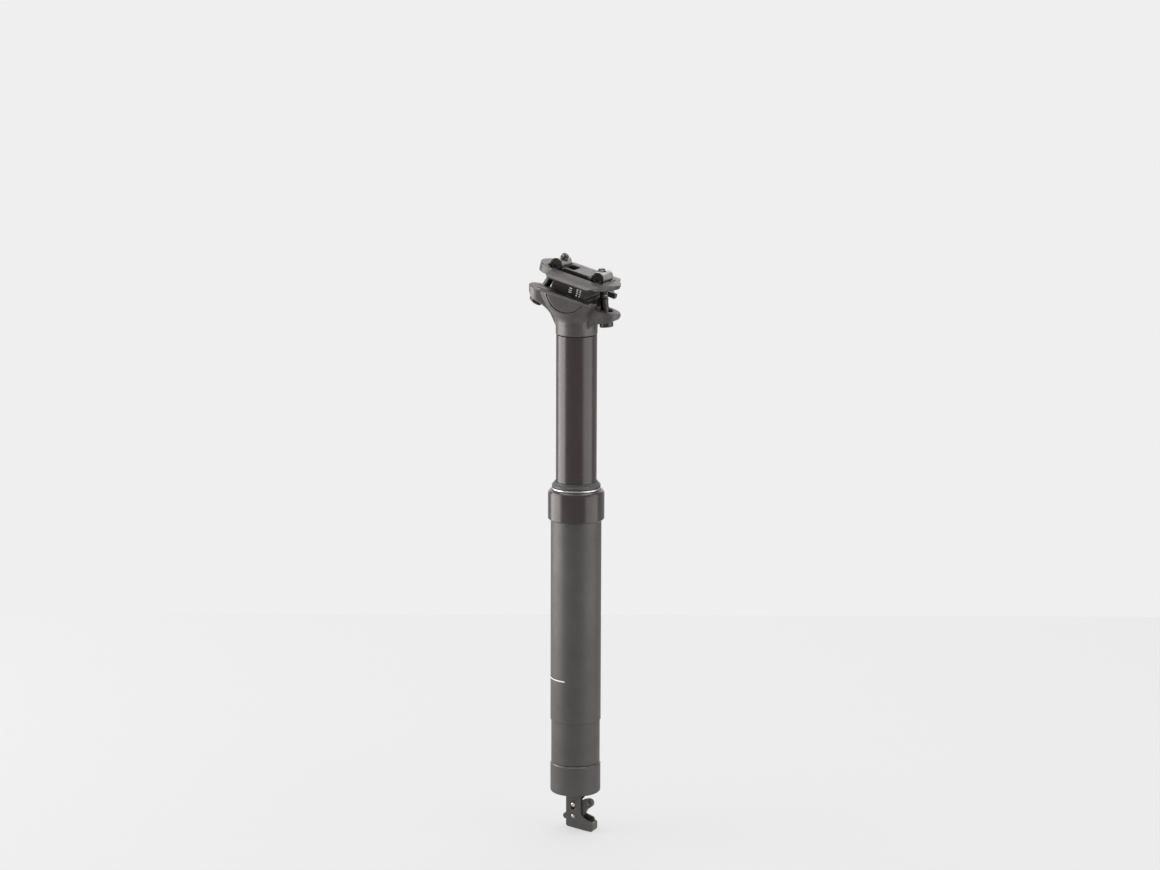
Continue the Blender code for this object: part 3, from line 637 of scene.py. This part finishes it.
def makeForgings():
    s = forgeSetup
    head = softCopy("head", "forgedHead", s["headVoxel"], s["headEase"], finishes["forged_black"],
                    s["headRegain"])
    belongs(head, "upper_post", "head")
    upper = softCopy("upper_clamp", "upperClampPlate", s["clampVoxel"], s["clampEase"],
                     upperBlack)
    # painted shade in the trough between crown and wing
    paintShade(upper, paintedShadeTroughs)
    belongs(upper, "rail_clamp", "upper_clamp")
    lower = softCopy("lower_clamp", "lowerClampRocker", s["clampVoxel"], s["clampEase"],
                     finishes["forged_black"], s["rockerRegain"])
    # painted shade on the rocker's middle, under the upper plate
    paintShade(lower, paintedShadeMiddle)
    belongs(lower, "rail_clamp", "lower_clamp")
    for node, name, body in (("actuator_bracket", "cableBracket", "outer"),
                             ("actuator_lever", "cableLever", "lever")):
        piece = softCopy(node, name, s["bracketVoxel"], s["bracketEase"],
                         finishes["bracket_black"])
        belongs(piece, body, node)


makeForgings()
print("forged and cast pieces made")


# tilt scale on the rocker

# each row: along the clamp, height, spacing, count, width and height of a mark, in mm
scaleSetup = {"side": 17.07, "proud": 0.07,
              "rows": [(2.5, 0.4, 1.25, 3, 2.0, 0.6), (7.2, -0.4, 1.25, 4, 1.05, 0.65),
                       (9.2, -0.4, 1.25, 4, 1.05, 0.65)]}


def makeScaleTree():
    tree, given, result = newTree("tiltScale", [
        ("Wide", "NodeSocketFloat", 0.001), ("High", "NodeSocketFloat", 0.0004),
        ("Deep", "NodeSocketFloat", 0.0001), ("Step", "NodeSocketVector", (0, 0, 0.001)),
        ("Count", "NodeSocketInt", 3), ("Material", "NodeSocketMaterial", None)])
    row = tree.nodes.new("GeometryNodeMeshLine")
    row.mode = "OFFSET"
    mark = tree.nodes.new("GeometryNodeMeshCube")
    size = tree.nodes.new("ShaderNodeCombineXYZ")
    copies = tree.nodes.new("GeometryNodeInstanceOnPoints")
    for source, socket in (("Wide", "X"), ("Deep", "Y"), ("High", "Z")):
        tree.links.new(given.outputs[source], size.inputs[socket])
    tree.links.new(size.outputs[0], mark.inputs["Size"])
    tree.links.new(given.outputs["Count"], row.inputs["Count"])
    tree.links.new(given.outputs["Step"], row.inputs["Offset"])
    tree.links.new(row.outputs[0], copies.inputs["Points"])
    tree.links.new(mark.outputs[0], copies.inputs["Instance"])
    closeTree(tree, given, result, copies.outputs[0])
    return tree


def makeTiltScale():
    tree = makeScaleTree()
    s = scaleSetup
    for side, hand in ((1, "left"), (-1, "right")):
        for index, (u, w, step, count, wide, high) in enumerate(s["rows"]):
            place = clampFrame @ Matrix.Translation((u * mm, side * s["side"] * mm, w * mm))
            row = grow("tiltScale_%s_%d" % (hand, index + 1), tree, {
                "Wide": wide * mm, "High": high * mm, "Deep": 2 * s["proud"] * mm,
                "Step": (0, 0, step * mm), "Count": count, "Material": whiteInk}, place)
            belongs(row, "rail_clamp", None)


makeTiltScale()


# clamp bolts, barrel nuts and seat washers

boltSetup = {"shank": 2.5, "core": 2.14, "pitch": 0.8, "headRadius": 4.25, "headTop": 3.2,
             "headLow": -0.1, "frontTip": 5.6, "rearTip": 6.6, "threadLong": 19.0}
nutSetup = {"radius": 4.15, "half": 7.5, "hole": 2.75}


def axisFrame(position, axis):
    turn = Vector((0, 0, 1)).rotation_difference(Vector(axis)).to_matrix().to_4x4()
    return Matrix.Translation(Vector(position)) @ turn


def makeThreadTree():
    tree, given, result = newTree("boltThread", [
        ("Radius", "NodeSocketFloat", 0.0023), ("Long", "NodeSocketFloat", 0.018),
        ("Pitch", "NodeSocketFloat", 0.0008), ("Ridge", "NodeSocketFloat", 0.0004),
        ("Material", "NodeSocketMaterial", None)])
    helix = tree.nodes.new("GeometryNodeCurveSpiral")
    helix.inputs["Resolution"].default_value = 28
    turns = tree.nodes.new("ShaderNodeMath")
    turns.operation = "DIVIDE"
    tree.links.new(given.outputs["Long"], turns.inputs[0])
    tree.links.new(given.outputs["Pitch"], turns.inputs[1])
    tree.links.new(turns.outputs[0], helix.inputs["Rotations"])
    tree.links.new(given.outputs["Long"], helix.inputs["Height"])
    for socket in ("Start Radius", "End Radius"):
        tree.links.new(given.outputs["Radius"], helix.inputs[socket])
    ridge = tree.nodes.new("GeometryNodeCurvePrimitiveCircle")
    ridge.inputs["Resolution"].default_value = 4
    tree.links.new(given.outputs["Ridge"], ridge.inputs["Radius"])
    sweep = tree.nodes.new("GeometryNodeCurveToMesh")
    sweep.inputs["Fill Caps"].default_value = True
    tree.links.new(helix.outputs[0], sweep.inputs["Curve"])
    tree.links.new(ridge.outputs[0], sweep.inputs["Profile Curve"])
    closeTree(tree, given, result, sweep.outputs[0])
    return tree


def makeBolt(where, threadTree):
    s = boltSetup
    joint = joints[where + "_bolt_spin"]
    place = axisFrame(joint["pos_m"], joint["axis"])
    nut = Vector(joints[where + "_nut_turn"]["pos_m"])
    tip = (nut - Vector(joint["pos_m"])).length / mm + s[where + "Tip"]
    plain = tip - s["threadLong"]
    path = filleted([
        (0, s["headLow"], 0), (s["headRadius"], s["headLow"], 0.5),
        (s["headRadius"], s["headTop"], 0.15), (s["shank"] - 0.1, s["headTop"], 0.15),
        (s["shank"] - 0.1, plain, 0.1), (s["core"], plain + 0.4, 0.1),
        (s["core"], tip - 0.5, 0.1), (s["core"] - 0.45, tip, 0.15), (0, tip, 0)], steps=4)
    bolt = toObject(where + "ClampBolt", turnedShape(path, 64, place), finishes["dark_steel"], 40)
    corner = 2.0 / math.cos(math.radians(30))
    hexagon = [(corner * math.cos(math.radians(60 * n)), corner * math.sin(math.radians(60 * n)))
               for n in range(6)]
    cutAway(bolt, [blockShape(hexagon, s["headLow"] - 1, s["headLow"] + 2.0, place)], 40)
    belongs(bolt, where + "_bolt", where + "_clamp_bolt")
    thread = grow(where + "BoltThread", threadTree, {
        "Radius": (s["core"] + 0.03) * mm, "Long": (s["threadLong"] - 1.5) * mm,
        "Pitch": s["pitch"] * mm, "Ridge": 0.36 * mm, "Material": finishes["dark_steel"]},
        place @ Matrix.Translation((0, 0, (plain + 0.7) * mm)), 60)
    belongs(thread, where + "_bolt", None)


def makeNut(where):
    s = nutSetup
    joint = joints[where + "_nut_turn"]
    spin = Matrix.Translation(Vector(joint["pos_m"])) @ Matrix.Rotation(-math.pi / 2, 4, "X")
    half, radius = s["half"], s["radius"]
    path = filleted([(0, -half + 0.35, 0), (2.2, -half + 0.35, 0.1), (2.6, -half, 0.15),
                     (radius, -half, 0.45), (radius, half, 0.45), (2.6, half, 0.15),
                     (2.2, half - 0.35, 0.1), (0, half - 0.35, 0)], steps=5)
    nut = toObject(where + "BarrelNut", turnedShape(path, 96, spin), finishes["nut_steel"], 40)
    axis = joints[where + "_bolt_spin"]["axis"]
    hole = turnedShape([(0, -9), (s["hole"], -9), (s["hole"], 9), (0, 9)], 48,
                       axisFrame(joint["pos_m"], axis))
    cutAway(nut, [hole], 40)
    nut.data.materials.append(finishes["dark_steel"])
    for face in nut.data.polygons:  # ends painted dark as a painted reflection of the dark surroundings, bright barrel
        if abs(face.center.y) > (half - 0.42) * mm and abs(face.normal.y) > 0.3:
            face.material_index = 1
    belongs(nut, where + "_nut", where + "_barrel_nut")


def makeWasher(where):
    washer = bevelledCopy(where + "_seat_washer", where + "SeatWasher", 0.22,
                          finishes["dark_steel"])
    belongs(washer, where + "_washer", where + "_seat_washer")


threadTree = makeThreadTree()
for where in ("front", "rear"):
    makeBolt(where, threadTree)
    makeNut(where)
    makeWasher(where)
print("bolts, nuts and washers made")


# pins of the cable mechanism

pinSetup = {"end": 3.9, "pivotRadius": 1.3, "followerRadius": 1.4}


def makePin(name, node, body, centre, radius, end):
    spin = Matrix.Translation(centre) @ Matrix.Rotation(-math.pi / 2, 4, "X")
    path = filleted([(0, -end, 0), (radius * 0.55, -end, 0.05), (radius, -end + 0.28, 0.25),
                     (radius, end - 0.28, 0.25), (radius * 0.55, end, 0.05), (0, end, 0)])
    pin = toObject(name, turnedShape(path, 48, spin), finishes["plain_steel"], 40)
    belongs(pin, body, node)


def centreOf(node):
    low, high = (Vector(corner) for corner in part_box(node))
    return (low + high) / 2


makePin("leverPivot", "lever_pin", "outer", centreOf("lever_pin"), pinSetup["pivotRadius"],
        pinSetup["end"])
makePin("followerPin", "slot_pin", "valve", centreOf("slot_pin"), pinSetup["followerRadius"],
        pinSetup["end"])
print("pins made")


# studio

studio = {"azimuth": 24.0, "pitch": 11.9, "roll": 0.18, "distance": 2.428, "height": 0.741,
          "aside": 0.00225, "lens": 124.14, "worldSeen": 0.865, "worldLight": 0.50,
          "floorHalf": 0.54, "floorTone": 0.13, "floorGlow": 0.61}


def makeCamera():
    turn = math.radians(studio["azimuth"])
    right = Vector((math.cos(turn), math.sin(turn), 0))
    back = Vector((math.sin(turn), -math.cos(turn), 0))
    place = back * studio["distance"] + right * studio["aside"] + Vector((0, 0, studio["height"]))
    data = bpy.data.cameras.new("studioCamera")
    data.lens = studio["lens"]
    data.sensor_width = 36.0
    camera = bpy.data.objects.new("studioCamera", data)
    bpy.context.scene.collection.objects.link(camera)
    camera.matrix_world = (Matrix.Translation(place) @ Matrix.Rotation(turn, 4, "Z")
                           @ Matrix.Rotation(math.radians(90 - studio["pitch"]), 4, "X")
                           @ Matrix.Rotation(math.radians(studio["roll"]), 4, "Z"))
    bpy.context.scene.camera = camera
    return right, -back


def makeLight(name, place, target, wide, high, power):
    data = bpy.data.lights.new(name, "AREA")
    data.shape = "RECTANGLE"
    data.size, data.size_y = wide, high
    data.energy = power
    light = bpy.data.objects.new(name, data)
    bpy.context.scene.collection.objects.link(light)
    light.visible_camera = False
    light.location = place
    light.rotation_euler = (target - place).to_track_quat("-Z", "Y").to_euler()


def makeFloor(turn):
    half = studio["floorHalf"]
    shape = bmesh.new()
    bmesh.ops.create_grid(shape, x_segments=8, y_segments=8, size=half)
    place = Matrix.Translation((0, 0, floorLevel)) @ Matrix.Rotation(turn, 4, "Z")
    bmesh.ops.transform(shape, matrix=place, verts=shape.verts)
    material = bpy.data.materials.new("paleFloor")
    material.use_nodes = True
    shader = material.node_tree.nodes["Principled BSDF"]
    shader.inputs["Base Color"].default_value = (*[studio["floorTone"]] * 3, 1)
    shader.inputs["Emission Color"].default_value = (1, 1, 1, 1)
    shader.inputs["Emission Strength"].default_value = studio["floorGlow"]
    shader.inputs["Roughness"].default_value = 0.9
    shader.inputs["Specular IOR Level"].default_value = 0.1
    floor = toObject("floor", shape, material)


def makeWorld():
    world = bpy.data.worlds.new("studioWorld")
    world.use_nodes = True
    tree = world.node_tree
    tree.nodes.clear()
    output = tree.nodes.new("ShaderNodeOutputWorld")
    mix = tree.nodes.new("ShaderNodeMixShader")
    path = tree.nodes.new("ShaderNodeLightPath")
    tree.links.new(path.outputs["Is Camera Ray"], mix.inputs[0])
    for index, level in ((1, studio["worldLight"]), (2, studio["worldSeen"])):
        shade = tree.nodes.new("ShaderNodeBackground")
        shade.inputs["Color"].default_value = (level, level, level, 1)
        tree.links.new(shade.outputs[0], mix.inputs[index])
    tree.links.new(mix.outputs[0], output.inputs[0])
    bpy.context.scene.world = world


right, ahead = makeCamera()
middle = Vector((0, 0, 0.17))  # where every light points
# each light: metres to the right of the object, behind it and up, its width, height and power
lightSetup = {"leftBox": (-1.10, 0.08, 0.15, 1.15, 1.3, 23.0),
              "rightBox": (1.03, -0.42, 0.15, 1.25, 1.3, 11.0),
              "topBox": (0.0, 0.2, 1.9, 1.8, 1.8, 34.0),
              "backBox": (0.0, 1.5, 0.7, 2.2, 1.2, 8.0)}
for name, (aside, behind, up, wide, high, power) in lightSetup.items():
    makeLight(name, right * aside + ahead * behind + Vector((0, 0, up)), middle, wide, high, power)
makeFloor(math.radians(studio["azimuth"]))
makeWorld()
bpy.context.scene.view_settings.view_transform = "Standard"
print("studio set")
